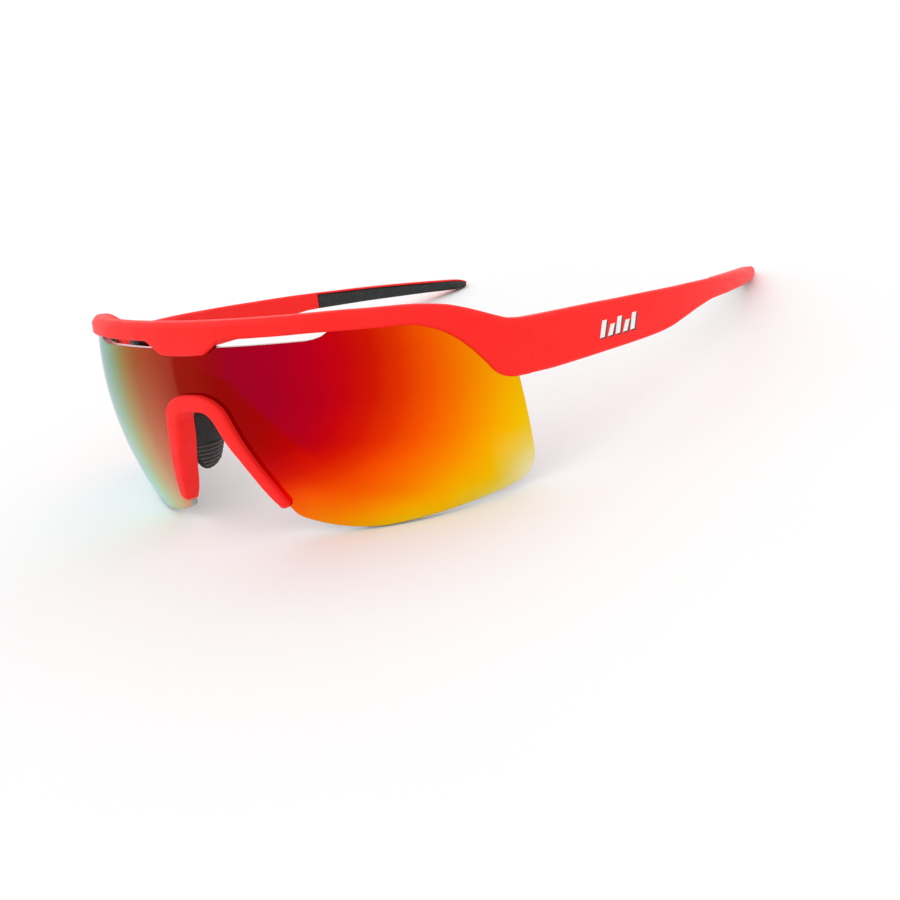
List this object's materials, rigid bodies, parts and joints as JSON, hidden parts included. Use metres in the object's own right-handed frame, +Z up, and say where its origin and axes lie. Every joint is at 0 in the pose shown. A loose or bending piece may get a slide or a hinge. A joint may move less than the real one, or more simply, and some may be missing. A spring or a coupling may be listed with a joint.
{
  "type": "wraparound sport sunglasses",
  "caption": "Half-rim wraparound sunglasses with a one-piece mirrored shield lens, a clip-on nose piece with rubber pads and folding temples with rubber grips.",
  "frame": {"origin": "middle of the footprint on the surface it rests on", "axes": "+X to the wearer's left, front faces -Y, temples run to +Y, +Z up; the glasses lie at rest on the lens's two lower lobes and the temple tips"},
  "size_m": [0.144, 0.1546, 0.0511],
  "materials": {
    "frame_red": "matte, slightly soft-touch",
    "lens_mirror": "polished, iridescent mirror coating, red to yellow",
    "rubber_dark": "matte, finely speckled",
    "hinge_steel": "brushed",
    "washer_nylon": "matte nylon",
    "mark_white": "pad print"
  },
  "bodies": {
    "front": {"front_frame": "frame_red", "shield_lens": "lens_mirror", "nose_bridge": "frame_red", "nose_pad_left": "rubber_dark", "hinge_front_leaf_left": "hinge_steel", "hinge_screw_left": "hinge_steel", "hinge_washers_left": "washer_nylon", "front_leaf_screws_left": "hinge_steel", "nose_pad_right": "rubber_dark", "hinge_front_leaf_right": "hinge_steel", "hinge_screw_right": "hinge_steel", "hinge_washers_right": "washer_nylon", "front_leaf_screws_right": "hinge_steel"},
    "temple_left": {"temple_left": "frame_red", "temple_grip_left": "rubber_dark", "temple_mark_left": "mark_white", "hinge_temple_leaf_left": "hinge_steel", "temple_leaf_screws_left": "hinge_steel"},
    "temple_right": {"temple_right": "frame_red", "temple_grip_right": "rubber_dark", "temple_mark_right": "mark_white", "hinge_temple_leaf_right": "hinge_steel", "temple_leaf_screws_right": "hinge_steel"}
  },
  "joints": [
    {"name": "temple_left_fold", "type": "hinge", "parent": "front", "child": "temple_left", "pos_m": [0.06065, -0.03707, 0.02991], "axis": [0, 0.2309, 0.973], "range_deg": [0, 86]},
    {"name": "temple_right_fold", "type": "hinge", "parent": "front", "child": "temple_right", "pos_m": [-0.06065, -0.03707, 0.02991], "axis": [0, 0.2309, 0.973], "range_deg": [-79, 0]}
  ]
}
